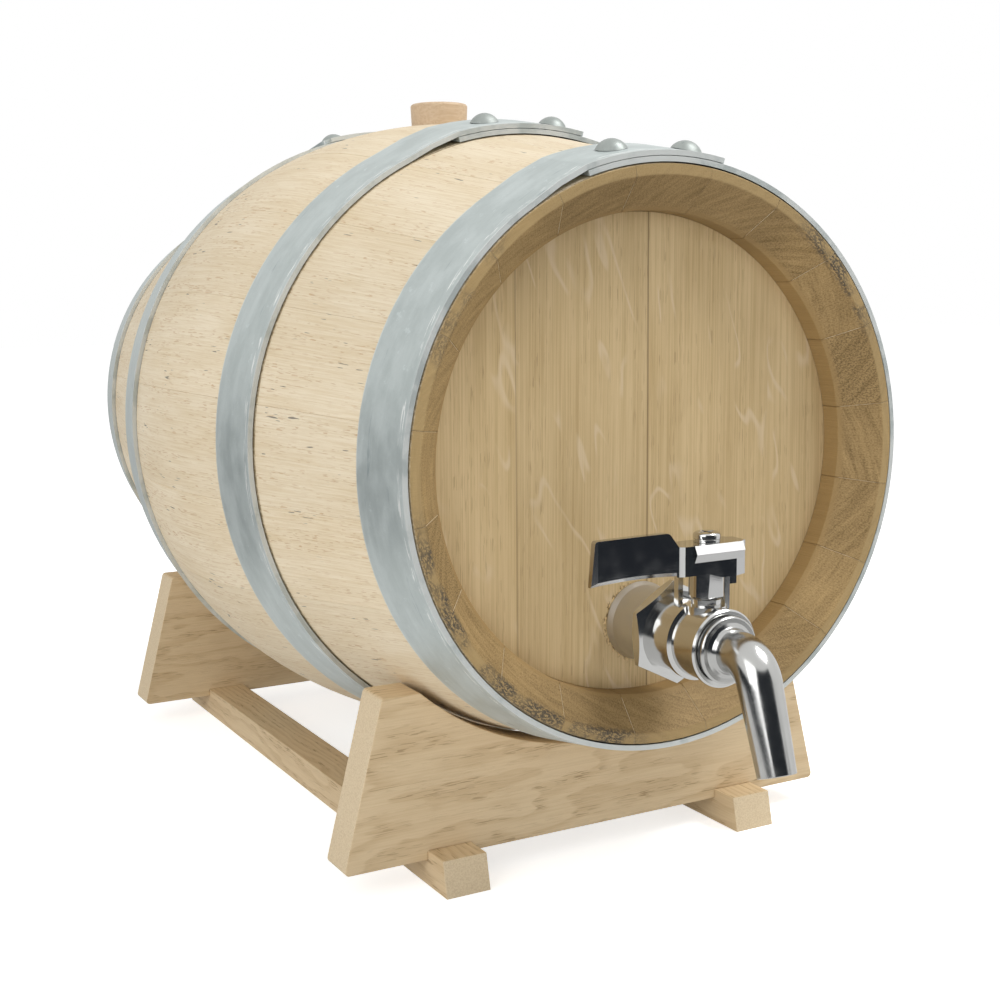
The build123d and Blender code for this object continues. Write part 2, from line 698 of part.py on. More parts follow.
blade_front = -blade_face
blade_back = blade_front + blade_thickness
brow_crest = hub_top - brow_edge
hub_side = Plane(origin=stem_base.origin, x_dir=(0, 1, 0), z_dir=(1, 0, 0))
lever_front = Plane(origin=stem_base.origin, x_dir=(1, 0, 0), z_dir=(0, -1, 0))
with BuildPart() as tap_lever:
    with BuildSketch(lever_front):
        with BuildLine():
            shoulder = (-blade_shoulder, blade_top)
            tip_top = (-blade_tip + blade_tip_slant, blade_top)
            tip_base = (-blade_tip, blade_underside)
            root = (-hub_left, blade_underside)
            Polyline(root, (0, blade_underside), (0, hub_top), (-hub_fold, hub_top), shoulder, tip_top, tip_base)
            ThreePointArc(tip_base, (-(blade_tip + hub_left) / 2, blade_underside + blade_arch), root)
        make_face()
        fillet(vertices().sort_by_distance(shoulder)[0], shoulder_radius)
        fillet(vertices().sort_by_distance(tip_top)[0], tip_radius)
    extrude(amount=blade_tip, both=True)
    with BuildSketch(stem_base):
        with BuildLine():
            for y in (blade_front, blade_back):
                Line((0, y), (-blade_straight, y))
                TangentArc((-blade_straight, y), (-blade_tip, y - blade_bow), tangent=(-1, 0))
            Line((0, blade_front), (0, blade_back))
            Line((-blade_tip, blade_front - blade_bow), (-blade_tip, blade_back - blade_bow))
        make_face()
        tip_front = vertices().sort_by_distance((-blade_tip, blade_front - blade_bow))[0]
        chamfer(tip_front, tip_bevel + blade_tip_slant, tip_bevel)
    extrude(amount=2 * hub_top, mode=Mode.INTERSECT)
    underside = (-(blade_tip + hub_left) / 2, blade_front, blade_underside)
    chamfer(tap_lever.edges().sort_by_distance(stem_base.from_local_coords(underside))[0], blade_bevel)
    for length, taper in ((brow_crest - hub_base - skirt_bevel, 0), (-skirt_bevel, 45)):
        with BuildSketch(stem_base.offset(hub_base + skirt_bevel)):
            Circle(skirt_radius)
            with Locations((0, (skirt_flat - hub_waist) / 2)):
                Rectangle(2 * skirt_radius, hub_waist + skirt_flat, mode=Mode.INTERSECT)
        extrude(amount=length, taper=taper)
    for left, underside in ((-hub_left, blade_underside), (0, hub_underside)):
        with BuildSketch(stem_base.offset(underside)):
            with BuildLine():
                front = [
                    (left, -hub_waist),
                    (hub_right - hub_corner[0], -hub_waist),
                    (hub_right, hub_corner[1] - hub_waist),
                ]
                Polyline(front, [(x, -y) for x, y in front[::-1]], close=True)
            make_face()
        extrude(amount=hub_top - underside)
    with BuildSketch(hub_side.offset(-brow_left)):
        with BuildLine():
            back = [
                (hub_waist, hub_top),
                (hub_waist + brow_reach, brow_crest),
                (hub_waist, brow_crest - brow_bevel),
            ]
            Polyline(back, [(-y, z) for y, z in back[::-1]], close=True)
        make_face()
    extrude(amount=brow_left + brow_right)
    with BuildSketch(stem_base.offset(blade_underside)):
        with BuildLine():
            Polyline(
                (-blade_straight, blade_front),
                (-hub_fold, blade_front),
                (-hub_left, -hub_waist),
                (-hub_left, blade_back),
                (-blade_straight, blade_back),
                close=True,
            )
        make_face()
        fillet(vertices().sort_by_distance((-hub_fold, blade_front))[0], hub_fold_radius)
    extrude(amount=hub_top - blade_underside)
    with BuildSketch(stem_base.offset(hub_underside)):
        with Locations((lug_reach - lug_length / 2, (lug_front + lug_back) / 2)):
            Rectangle(lug_length, lug_width)
    extrude(amount=-lug_drop)
    with BuildSketch(stem_base.offset(hub_base)):
        Circle(stem_radius + tap_play)
        Rectangle(stem_across_flats + 2 * tap_play, 3 * stem_radius, mode=Mode.INTERSECT)
    extrude(amount=hub_top - hub_base, mode=Mode.SUBTRACT)
save(tap_lever, "tap_lever")

with BuildPart() as lever_washer:
    with BuildSketch(stem_base.offset(hub_top)):
        Circle(washer_radius)
        Circle(lever_screw_radius + 2 * tap_play, mode=Mode.SUBTRACT)
        with Locations((washer_radius / 2, 0)):
            Rectangle(washer_radius, washer_slit, mode=Mode.SUBTRACT)
    extrude(amount=washer_thickness)
save(lever_washer, "lever_lock_washer")

screw_seat = hub_top + washer_thickness
with BuildPart() as lever_screw:
    with BuildSketch(stem_base.offset(screw_seat)):
        Circle(screw_head[0])
    extrude(amount=screw_head[1])
    fillet(lever_screw.edges().sort_by(Axis.Z)[-1], screw_head[1] / 2)
    with BuildSketch(stem_base.offset(screw_seat)):
        Circle(lever_screw_radius)
    extrude(amount=-washer_thickness - lever_screw_grip + tap_play)
    with BuildSketch(stem_base.offset(screw_seat + screw_head[1])):
        Rectangle(cross_slot[0], cross_slot[1])
        Rectangle(cross_slot[1], cross_slot[0])
    extrude(amount=-cross_slot[2], mode=Mode.SUBTRACT)
save(lever_screw, "lever_screw")

# --- Tap: spout -----------------------------------------------------------------------------------
flange_face = body_end + flange_gap
front_seat_end = ball_distance + chamber_half
flange_front = flange_face + flange_step + flange_width
bend_start = spout_corner - spout_bend * tan(radians(spout_turn / 2))
bend_axis = Axis((0, tap_y - bend_start, tap_z - spout_bend), (1, 0, 0))
bend_exit = bend_axis.position + Vector(0, -cos(radians(spout_slope)), sin(radians(spout_slope))) * spout_bend
outlet_way = Vector(0, -sin(radians(spout_slope)), -cos(radians(spout_slope)))
straight_length = spout_drop - spout_bend * tan(radians(spout_turn / 2))
outlet_taper = (spout_radius - outlet_radius) / straight_length
outlet_plane = Plane(origin=bend_exit, x_dir=(1, 0, 0), z_dir=outlet_way)


def tube(radius, taper, start, mode=Mode.ADD):
    """The spout's run: straight out from start, round the bend and down to the outlet."""
    with BuildSketch(tap_face.offset(start)) as tail:
        Circle(radius)
    extrude(tail.sketch, amount=bend_start - start, mode=mode)
    with BuildSketch(tap_face.offset(bend_start)) as bend:
        Circle(radius)
    revolve(bend.sketch, axis=bend_axis, revolution_arc=spout_turn, mode=mode)
    with BuildSketch(outlet_plane) as run:
        Circle(radius)
    with BuildSketch(outlet_plane.offset(straight_length)) as outlet:
        Circle(radius - taper * straight_length)
    loft([run.sketch.face(), outlet.sketch.face()], mode=mode)


with BuildPart() as spout:
    turned(
        [
            (front_seat_end, 0),
            (front_seat_end, chamber_radius - tap_play),
            (flange_face, chamber_radius - tap_play),
            (flange_face, flange_step_radius),
            (flange_face + flange_step, flange_step_radius),
            (flange_face + flange_step, flange_radius),
            (flange_front - body_edge, flange_radius),
            (flange_front, flange_radius - body_edge),
            (flange_front, spout_radius + spout_neck_fillet),
            (flange_front + spout_neck_fillet / 3, spout_radius + spout_neck_fillet / 3),
            (flange_front + spout_neck_fillet, spout_radius),
            (flange_front + spout_neck_fillet, 0),
        ]
    )
    tube(spout_radius, outlet_taper, flange_front)
    tube(spout_bore, 0, front_seat_end, Mode.SUBTRACT)
save(spout, "spout")

with BuildPart() as o_ring:
    ring_centre = body_end - o_ring_pocket + o_ring_section
    with BuildSketch(tap_section):
        with Locations((ring_centre, o_ring_radius)):
            Circle(o_ring_section)
    revolve(axis=tap_axis)
save(o_ring, "spout_o_ring")
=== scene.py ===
# %% [markdown]
# # An oak cask with a lever tap, lying on its cradle
# The solids come ready made, at their real size and in their real place. What is left to do here is what
# the eye sees: the camera and the light, small bevels, the torn fibres and marks of use, and above all
# the oak, the zinc and the polished steel. The script runs from top to bottom, one small step in each
# cell.

# %% Load the frame
import json
from math import hypot, radians, tau

import bpy
from mathutils import Matrix, Vector


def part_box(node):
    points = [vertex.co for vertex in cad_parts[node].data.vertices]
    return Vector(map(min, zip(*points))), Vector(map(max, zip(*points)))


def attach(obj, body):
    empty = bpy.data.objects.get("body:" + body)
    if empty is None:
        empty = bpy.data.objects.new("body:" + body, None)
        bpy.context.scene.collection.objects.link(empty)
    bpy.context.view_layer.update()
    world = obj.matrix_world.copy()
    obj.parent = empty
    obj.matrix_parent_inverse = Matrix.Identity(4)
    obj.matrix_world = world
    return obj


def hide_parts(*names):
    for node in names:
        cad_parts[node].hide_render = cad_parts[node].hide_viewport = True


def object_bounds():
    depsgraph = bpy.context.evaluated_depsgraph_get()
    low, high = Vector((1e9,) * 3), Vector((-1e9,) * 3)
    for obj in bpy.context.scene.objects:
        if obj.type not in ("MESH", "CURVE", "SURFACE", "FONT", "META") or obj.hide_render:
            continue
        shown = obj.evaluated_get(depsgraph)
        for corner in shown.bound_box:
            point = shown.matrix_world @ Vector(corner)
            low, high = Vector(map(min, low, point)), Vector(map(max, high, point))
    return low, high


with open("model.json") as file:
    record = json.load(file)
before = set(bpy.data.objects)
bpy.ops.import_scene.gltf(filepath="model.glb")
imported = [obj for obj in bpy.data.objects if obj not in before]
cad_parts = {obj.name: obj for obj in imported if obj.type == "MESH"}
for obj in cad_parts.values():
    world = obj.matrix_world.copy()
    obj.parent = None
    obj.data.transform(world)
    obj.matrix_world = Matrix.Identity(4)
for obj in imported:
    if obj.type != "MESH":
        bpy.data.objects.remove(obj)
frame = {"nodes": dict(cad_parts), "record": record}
nodes = frame["nodes"]
body_of_node = {
    node: body
    for body, members in frame["record"]["behaviour"]["bodies"].items()
    for node in members
}
cad_low, cad_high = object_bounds()
MM = 0.001

# %% [markdown]
# Everything on a cask is placed from its own axis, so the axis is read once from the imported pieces: its
# height from a middle board of the head, and its middle from the stave at the side.

# %% The cask's own places
board_low, board_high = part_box("front_head_board_2")
stave_low, stave_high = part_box("stave_06")
axis_height = (board_low[2] + board_high[2]) / 2
cask_middle = (stave_low[1] + stave_high[1]) / 2
half_length = (stave_high[1] - stave_low[1]) / 2
stave_count = 20
end_radius = max(
    hypot(v.co.x, v.co.z - axis_height) for v in nodes["stave_06"].data.vertices
    if abs(v.co.y - cask_middle) > half_length - 2 * MM
)
belly = (stave_high[0] - end_radius) / half_length ** 2  # how fast the staves bend in from the middle
print("axis height", round(axis_height / MM, 1), "mm, half length", round(half_length / MM, 1), "mm")

# %% [markdown]
# ## Camera
# A camera with a normal lens, a little over half a metre away, sees the cask from its left front. It
# leans half a degree, as a camera on a tripod often does.

# %% Camera
camera_place = Vector((-0.2435, -0.4603, 0.1774))
camera_target = Vector((-0.0040, -0.0270, 0.1078))
camera_roll = radians(-0.54)

bpy.ops.object.select_all(action="DESELECT")
bpy.ops.object.camera_add(location=camera_place)
camera = bpy.context.object
camera.name = "camera"
looking = (camera_target - camera_place).to_track_quat("-Z", "Y").to_matrix()
camera.rotation_euler = (looking @ Matrix.Rotation(camera_roll, 3, "Z")).to_euler()
camera.data.sensor_width = 36
camera.data.lens = 53.2
camera.data.shift_x = 0.0014
camera.data.shift_y = -0.0097
camera.data.clip_start = 0.01
bpy.context.scene.camera = camera
bpy.context.scene.view_settings.view_transform = "Standard"

# %% [markdown]
# ## Studio
# The cask stands in a white tent: a pale floor, an even white sky and two soft boxes. Polished steel
# looks like steel only because of what it mirrors, so the sky that mirrors see isn't even. It is white
# above and behind, and dark low down and around the camera, where a real studio is dark.

# %% Small helpers for node trees
def add_node(tree, kind, **settings):
    """A new node with its settings made."""
    node = tree.nodes.new(kind)
    for name, value in settings.items():
        setattr(node, name, value)
    return node


def feed(tree, socket, value):
    """Links a socket to another one, or sets it to a plain value."""
    if isinstance(value, bpy.types.NodeSocket):
        tree.links.new(value, socket)
    else:
        socket.default_value = value


def maths(tree, operation, *values, clamp=False):
    node = add_node(tree, "ShaderNodeMath", operation=operation, use_clamp=clamp)
    for socket, value in zip(node.inputs, values):
        feed(tree, socket, value)
    return node.outputs[0]


def vector_maths(tree, operation, *values):
    node = add_node(tree, "ShaderNodeVectorMath", operation=operation)
    for socket, value in zip(node.inputs, values):
        feed(tree, socket, value)
    return node.outputs["Value" if operation in ("LENGTH", "DOT_PRODUCT") else "Vector"]


def ramp(tree, value, low, high, start=0.0, end=1.0):
    """A smooth step from start to end, while the value goes from low to high."""
    node = add_node(tree, "ShaderNodeMapRange", interpolation_type="SMOOTHSTEP")
    limits = {"Value": value, "From Min": low, "From Max": high, "To Min": start, "To Max": end}
    for name, number in limits.items():
        feed(tree, node.inputs[name], number)
    return node.outputs["Result"]


def mix(tree, factor, first, second, blend="MIX"):
    node = add_node(tree, "ShaderNodeMix", data_type="RGBA", blend_type=blend)
    for index, value in ((0, factor), (6, first), (7, second)):
        feed(tree, node.inputs[index], value)
    return node.outputs[2]


def noise(tree, vector, detail=2.0, roughness=0.5, output="Fac"):
    """Noise whose cells are one unit wide, so its size is set by scaling the vector."""
    node = add_node(tree, "ShaderNodeTexNoise")
    feed(tree, node.inputs["Vector"], vector)
    feed(tree, node.inputs["Scale"], 1.0)
    feed(tree, node.inputs["Detail"], detail)
    feed(tree, node.inputs["Roughness"], roughness)
    return node.outputs[output]


def scaled(tree, vector, cell):
    """The vector measured in cells of that size, given as (x, y, z)."""
    return vector_maths(tree, "DIVIDE", vector, cell)


def combine(tree, x, y, z):
    node = add_node(tree, "ShaderNodeCombineXYZ")
    for socket, value in zip(node.inputs, (x, y, z)):
        feed(tree, socket, value)
    return node.outputs[0]


def split(tree, vector):
    node = add_node(tree, "ShaderNodeSeparateXYZ")
    feed(tree, node.inputs[0], vector)
    return node.outputs


# %% [markdown]
# The floor is pure white to the camera, and matt and pale to the light. In a mirror it fades to black
# away from the tap, where a black cloth hangs in a studio to give polished steel its dark bands.

# %% White floor
floor_level = cad_low[2]
bpy.ops.object.select_all(action="DESELECT")
bpy.ops.mesh.primitive_plane_add(size=8, location=(0, 0, floor_level))
floor = bpy.context.object
floor.name = "studio_floor"

cask_centre = Vector((0, cask_middle, axis_height))
cloth_colour = (0.024, 0.028, 0.034, 1)
# Each part: its left and right end in degrees, how soft its ends are in radians, and its top.
cloth_parts = ((-160, 50, 0.10, 0.11), (-54, 31, 0.08, 0.64))


def behind_cloth(tree, direction):
    """1 in the dark: a low strip from the left to the front right, and a tall part behind the camera."""
    x, y, z = split(tree, direction)
    turn = maths(tree, "ARCTAN2", x, maths(tree, "MULTIPLY", y, -1.0))
    parts = []
    for left, right, soft, top in cloth_parts:
        past_left = ramp(tree, turn, radians(left) - soft, radians(left) + soft)
        past_right = ramp(tree, turn, radians(right) + soft, radians(right) - soft)
        below_top = ramp(tree, z, top + 0.03, top - 0.05)
        parts.append(maths(tree, "MULTIPLY", maths(tree, "MULTIPLY", past_left, past_right), below_top))
    return maths(tree, "MAXIMUM", *parts)


floor_paint = bpy.data.materials.new("studio_floor_paint")
floor_paint.use_nodes = True
tree = floor_paint.node_tree
tree.nodes.clear()
matt = add_node(tree, "ShaderNodeBsdfDiffuse")
matt.inputs["Color"].default_value = (0.82, 0.82, 0.82, 1)
rays = add_node(tree, "ShaderNodeLightPath")
place = add_node(tree, "ShaderNodeNewGeometry").outputs["Position"]
from_tap = vector_maths(tree, "SUBTRACT", place, (0, cad_low[1], 0))
far = ramp(tree, vector_maths(tree, "LENGTH", from_tap), 0.30, 0.42)
cloth = maths(tree, "MULTIPLY", behind_cloth(tree, vector_maths(tree, "NORMALIZE", from_tap)), far)
white_glow = add_node(tree, "ShaderNodeEmission")
mirrored = add_node(tree, "ShaderNodeEmission")
feed(tree, mirrored.inputs["Color"], mix(tree, cloth, (0.85, 0.85, 0.84, 1), cloth_colour))
with_mirrors = add_node(tree, "ShaderNodeMixShader")
tree.links.new(rays.outputs["Is Glossy Ray"], with_mirrors.inputs[0])
tree.links.new(matt.outputs[0], with_mirrors.inputs[1])
tree.links.new(mirrored.outputs[0], with_mirrors.inputs[2])
shade_sum = add_node(tree, "ShaderNodeAddShader")
feed(tree, white_glow.inputs["Strength"], 0.64)
tree.links.new(matt.outputs[0], shade_sum.inputs[0])
tree.links.new(white_glow.outputs[0], shade_sum.inputs[1])
with_camera = add_node(tree, "ShaderNodeMixShader")
tree.links.new(rays.outputs["Is Camera Ray"], with_camera.inputs[0])
tree.links.new(with_mirrors.outputs[0], with_camera.inputs[1])
tree.links.new(shade_sum.outputs[0], with_camera.inputs[2])
out = add_node(tree, "ShaderNodeOutputMaterial")
tree.links.new(with_camera.outputs[0], out.inputs["Surface"])
floor.data.materials.append(floor_paint)

# %% [markdown]
# The sky has three faces: plain white where the camera looks past the cask, an even grey-white that
# lights the wood, and the tent with its black cloth that only mirrors see.

# %% Sky
sky_light = 0.55
world = bpy.data.worlds.new("studio_sky")
bpy.context.scene.world = world
world.use_nodes = True
tree = world.node_tree
tree.nodes.clear()
rays = add_node(tree, "ShaderNodeLightPath")
direction = vector_maths(tree, "NORMALIZE", add_node(tree, "ShaderNodeTexCoord").outputs["Generated"])
seen_by_mirrors = add_node(tree, "ShaderNodeBackground")
tent = mix(tree, behind_cloth(tree, direction), (0.95, 0.95, 0.94, 1), cloth_colour)
feed(tree, seen_by_mirrors.inputs["Color"], tent)
seen_by_matt = add_node(tree, "ShaderNodeBackground")
seen_by_matt.inputs["Color"].default_value = (1, 1, 1, 1)
seen_by_matt.inputs["Strength"].default_value = sky_light
seen_by_camera = add_node(tree, "ShaderNodeBackground")
seen_by_camera.inputs["Color"].default_value = (1, 1, 1, 1)
matt_or_mirror = add_node(tree, "ShaderNodeMixShader")
tree.links.new(rays.outputs["Is Glossy Ray"], matt_or_mirror.inputs[0])
tree.links.new(seen_by_matt.outputs[0], matt_or_mirror.inputs[1])
tree.links.new(seen_by_mirrors.outputs[0], matt_or_mirror.inputs[2])
any_ray = add_node(tree, "ShaderNodeMixShader")
tree.links.new(rays.outputs["Is Camera Ray"], any_ray.inputs[0])
tree.links.new(matt_or_mirror.outputs[0], any_ray.inputs[1])
tree.links.new(seen_by_camera.outputs[0], any_ray.inputs[2])
out = add_node(tree, "ShaderNodeOutputWorld")
tree.links.new(any_ray.outputs[0], out.inputs["Surface"])

# %% [markdown]
# The key light hangs high on the right, a little in front, so that the rim throws its soft shadow on the
# head along the top right. A broad weaker one from the left fills the side that the camera sees first.

# %% Soft boxes
def soft_box(name, place, size, watts):
    """A square lamp that faces the cask."""
    bpy.ops.object.light_add(type="AREA", location=place)
    lamp = bpy.context.object
    lamp.name = name
    lamp.data.shape = "SQUARE"
    lamp.data.size = size
    lamp.data.energy = watts
    lamp.rotation_euler = (cask_centre - Vector(place)).to_track_quat("-Z", "Y").to_euler()
    return lamp


soft_box("soft_box_right", (0.55, -0.45, 1.15), 0.5, 9.0)
soft_box("soft_box_left", (-1.1, -0.55, 0.55), 0.9, 5.5)

# %% [markdown]
# ## Shapes
# Each visible piece is copied, its loose triangles are welded, and a small bevel is asked for at its
# corners. A bevel is held back to the piece's shortest edge, so only the pieces without very short edges
# get it in full: the turned and simple ones, such as the collar, the spout and the plain staves. The
# cradle, the lever, the tap's body and the hoops stay nearly sharp. Without that limit the bevel sticks
# out of some pieces.

# %% Helpers for shaping
def select_only(*objects):
    bpy.ops.object.select_all(action="DESELECT")
    for thing in objects:
        thing.select_set(True)
    bpy.context.view_layer.objects.active = objects[0]


def copy_of(node, name, flat=0.2):
    """A welded copy of a solid, with areas flat to that many degrees joined into single faces."""
    piece = nodes[node].copy()
    piece.data = nodes[node].data.copy()
    piece.name = name
    piece.parent = None
    piece.matrix_world = Matrix.Identity(4)
    bpy.context.collection.objects.link(piece)
    select_only(piece)
    bpy.ops.mesh.customdata_custom_splitnormals_clear()
    bpy.ops.object.mode_set(mode="EDIT")
    bpy.ops.mesh.select_all(action="SELECT")
    bpy.ops.mesh.remove_doubles(threshold=0.002 * MM)
    bpy.ops.mesh.dissolve_limited(angle_limit=radians(flat), delimit={"NORMAL"})
    bpy.ops.object.mode_set(mode="OBJECT")
    return piece


def soften(piece, width, segments=2, sharper_than=28, smoother_than=9):
    """Bevels edges that turn by more than that many degrees, as far as the shortest edge allows.

    Only turns gentler than smoother_than are shaded as curves.
    """
    select_only(piece)
    bevel = piece.modifiers.new("soft_edges", "BEVEL")
    bevel.width = width
    bevel.segments = segments
    bevel.limit_method = "ANGLE"
    bevel.angle_limit = radians(sharper_than)
    bevel.miter_outer = "MITER_ARC"
    bpy.ops.object.modifier_apply(modifier=bevel.name)
    bpy.ops.object.shade_smooth_by_angle(angle=radians(smoother_than))
    return piece


def stand_for(piece, node):
    """The piece takes the solid's place, and moves with its body."""
    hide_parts(node)
    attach(piece, body_of_node[node])
    return piece


# %% Copy and bevel the pieces that show
edge_widths = {  # as asked for, before the shortest edge holds them back
    "front_cradle_board": 1.3 * MM,
    "back_cradle_board": 1.3 * MM,
    "left_rail": 1.1 * MM,
    "right_rail": 1.1 * MM,
    "tap_shank": 0.15 * MM,
    "tap_end_cap": 0.22 * MM,
    "tap_body": 0.25 * MM,
    "tap_lever": 0.6 * MM,
    "lever_screw": 0.15 * MM,
    "lever_lock_washer": 0.12 * MM,
    "spout": 0.2 * MM,
}
for name in nodes:
    if name.startswith("stave_") or name == "bung_stave":
        edge_widths[name] = 0.22 * MM
    elif "_head_board_" in name:
        edge_widths[name] = 0.25 * MM
    elif name.endswith("_hoop"):
        edge_widths[name] = 0.3 * MM

pieces = {}
for node, width in edge_widths.items():
    piece = soften(copy_of(node, node + "_finished"), width)
    pieces[node] = stand_for(piece, node)
print("finished copies", len(pieces))

# %% [markdown]
# ## Oak
# All the oak is one wood, seen in different cuts. Along the grain it shows fine lines, pores drawn out
# into short dashes, and slow clouds of tone. The first group makes those marks from noise that is
# stretched along the grain, in millimetres, so that every piece of wood can take them at their real size.

# %% Oak: marks along the grain
def new_group(name, inputs, outputs):
    """An empty node group with those named sockets, and its two ends."""
    group = bpy.data.node_groups.new(name, "ShaderNodeTree")
    for label, kind, value in inputs:
        socket = group.interface.new_socket(name=label, in_out="INPUT", socket_type=kind)
        if value is not None:
            socket.default_value = value
    for label, kind in outputs:
        group.interface.new_socket(name=label, in_out="OUTPUT", socket_type=kind)
    return group, group.nodes.new("NodeGroupInput").outputs, group.nodes.new("NodeGroupOutput").inputs


NUMBER, VECTOR, COLOUR = "NodeSocketFloat", "NodeSocketVector", "NodeSocketColor"
oak_grain, given, result = new_group(
    "oak_grain",
    [
        ("Vector", VECTOR, None),
        ("Line Width", NUMBER, 0.5),
        ("Line Length", NUMBER, 40.0),
        ("Pore Width", NUMBER, 0.3),
        ("Pore Length", NUMBER, 5.0),
        ("Pore Limit", NUMBER, 0.62),
    ],
    [("Lines", NUMBER), ("Clouds", NUMBER), ("Pores", NUMBER), ("Height", NUMBER)],
)


def stretched(tree, vector, width, length):
    """The vector in cells that are that wide and that long, with their length along z."""
    return vector_maths(tree, "DIVIDE", vector, combine(tree, width, width, length))


line_cells = stretched(oak_grain, given["Vector"], given["Line Width"], given["Line Length"])
lines = ramp(oak_grain, noise(oak_grain, line_cells, detail=3.0, roughness=0.62), 0.34, 0.68)
clouds = noise(oak_grain, scaled(oak_grain, given["Vector"], (15, 15, 55)), detail=3.0)
band_noise = noise(oak_grain, scaled(oak_grain, given["Vector"], (2.6, 2.6, 55)), detail=2.0)
bands = ramp(oak_grain, band_noise, 0.42, 0.62)
pore_cells = stretched(oak_grain, given["Vector"], given["Pore Width"], given["Pore Length"])
pore_noise = noise(oak_grain, pore_cells, detail=0.0)
pore_edge = maths(oak_grain, "ADD", given["Pore Limit"], 0.05)
pores = ramp(oak_grain, pore_noise, given["Pore Limit"], pore_edge)
pores = maths(oak_grain, "MULTIPLY", pores, maths(oak_grain, "MULTIPLY_ADD", bands, 0.85, 0.15))
relief = maths(oak_grain, "MULTIPLY_ADD", pores, -1.0, maths(oak_grain, "MULTIPLY", lines, 0.35))
for label, value in (("Lines", lines), ("Clouds", clouds), ("Pores", pores), ("Height", relief)):
    feed(oak_grain, result[label], value)

# %% [markdown]
# A cask is made of many pieces, and no two come from the same place in the tree. The next group says how
# far round the cask a point is, how far along and how far out, and how far out it would be if the staves
# were straight. It also says which stave the point is on and where across it, so that every stave can be
# cut from a tree of its own.

# %% Oak: where a point lies on the cask
cask_places, given, result = new_group(
    "cask_places",
    [("Vector", VECTOR, None)],
    [
        ("Around", NUMBER),
        ("Along", NUMBER),
        ("Out", NUMBER),
        ("Depth", NUMBER),
        ("Stave", NUMBER),
        ("Across Stave", NUMBER),
    ],
)
x, y, z = split(cask_places, given["Vector"])
stave_width = 33.0  # mm, where the cask is widest
sideways = maths(cask_places, "MULTIPLY", x, 1 / MM)
upwards = maths(cask_places, "MULTIPLY_ADD", z, 1 / MM, -axis_height / MM)
along = maths(cask_places, "MULTIPLY_ADD", y, 1 / MM, -cask_middle / MM)
out = vector_maths(cask_places, "LENGTH", combine(cask_places, sideways, upwards, 0.0))
angle = maths(cask_places, "ARCTAN2", sideways, upwards)
steps = maths(cask_places, "MULTIPLY_ADD", angle, stave_count / tau, stave_count + 0.5)
stave = maths(cask_places, "FLOOR", steps)
from_stave_middle = maths(cask_places, "SUBTRACT", maths(cask_places, "FRACT", steps), 0.5)
feed(cask_places, result["Around"], angle)
feed(cask_places, result["Along"], along)
feed(cask_places, result["Out"], out)
bent_in = maths(cask_places, "MULTIPLY", maths(cask_places, "MULTIPLY", along, along), belly * MM)
feed(cask_places, result["Depth"], maths(cask_places, "ADD", out, bent_in))
feed(cask_places, result["Stave"], maths(cask_places, "MODULO", stave, float(stave_count)))
feed(cask_places, result["Across Stave"], maths(cask_places, "MULTIPLY", from_stave_middle, stave_width))

# %% Helpers for finishes
def new_finish(name):
    """A material with one Principled shader, and that shader."""
    material = bpy.data.materials.new(name)
    material.use_nodes = True
    return material, material.node_tree, material.node_tree.nodes["Principled BSDF"]


def use_group(tree, group, **values):
    """The group placed in a tree. Underscores in the names stand for spaces."""
    node = add_node(tree, "ShaderNodeGroup", node_tree=group)
    for name, value in values.items():
        feed(tree, node.inputs[name.replace("_", " ")], value)
    return node.outputs


def object_places(tree):
    return add_node(tree, "ShaderNodeTexCoord").outputs["Object"]


def object_mm(tree):
    """The point on the piece, in millimetres."""
    return vector_maths(tree, "MULTIPLY", object_places(tree), (1 / MM, 1 / MM, 1 / MM))


def bump(tree, shader, height, distance, strength=1.0):
    node = add_node(tree, "ShaderNodeBump")
    feed(tree, node.inputs["Height"], height)
    node.inputs["Distance"].default_value = distance
    node.inputs["Strength"].default_value = strength
    tree.links.new(node.outputs["Normal"], shader.inputs["Normal"])


def random_numbers(tree, seed):
    """Three random numbers from 0 to 1 that belong to a whole number."""
    node = add_node(tree, "ShaderNodeTexWhiteNoise", noise_dimensions="1D")
    feed(tree, node.inputs["W"], seed)
    return split(tree, node.outputs["Color"])


def sheer_facing(tree, part):
    """How squarely the surface faces along one of the object's own axes, 0 to 1."""
    normal = add_node(tree, "ShaderNodeTexCoord").outputs["Normal"]
    return maths(tree, "ABSOLUTE", split(tree, normal)[part])


def paint(material, *names):
    """Gives a finish to pieces, by their node's name."""
    for name in names:
        thing = pieces.get(name, nodes[name])
        thing.data.materials.clear()
        thing.data.materials.append(material)


# %% [markdown]
# The staves are pale outside, nearly cream, with short brown dashes along the grain and here and there a
# black one, where iron has met the oak's own acid. Beside each hoop lies a dark line: partly a stain,
# partly a painted shadow of the gap under the hoop's edge.

# %% Oak of the staves: outside
PALE, TAN = (0.83, 0.72, 0.54, 1), (0.70, 0.565, 0.37, 1)
BROWN, BLACK = (0.53, 0.315, 0.150, 1), (0.14, 0.135, 0.12, 1)
stave_oak, tree, shader = new_finish("stave_oak")
spots = use_group(tree, cask_places, Vector=object_places(tree))
chance = random_numbers(tree, maths(tree, "ADD", spots["Stave"], 11.0))
